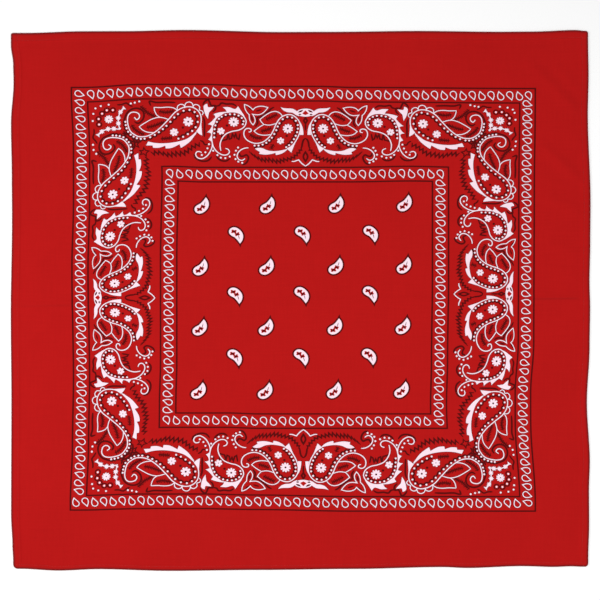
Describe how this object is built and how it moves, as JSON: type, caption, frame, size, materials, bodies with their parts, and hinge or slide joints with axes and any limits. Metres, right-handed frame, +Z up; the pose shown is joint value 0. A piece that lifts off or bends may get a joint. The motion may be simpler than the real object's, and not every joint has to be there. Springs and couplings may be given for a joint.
{
  "type": "bandana",
  "caption": "Square cotton bandana laid flat, with stitched hems, soft fold lines and a paisley border print round a field of small paisleys.",
  "frame": {"origin": "on the surface the cloth lies on, under the middle of its bounding box", "axes": "+X along the width towards the right edge, +Y towards the top edge, +Z up out of the printed face"},
  "size_m": [0.559, 0.5214, 0.0027],
  "materials": {
    "panel_cotton": "fine plain-weave cotton, dyed red, matt",
    "hem_cotton": "the same red cotton, turned under and pressed",
    "white_print": "white printed cotton, matt",
    "dark_print": "black printed cotton over the red, matt",
    "hem_thread": "red sewing thread"
  },
  "bodies": {
    "root": {"panel": "panel_cotton", "hem_top": "hem_cotton", "hem_bottom": "hem_cotton", "hem_left": "hem_cotton", "hem_right": "hem_cotton"}
  },
  "joints": []
}
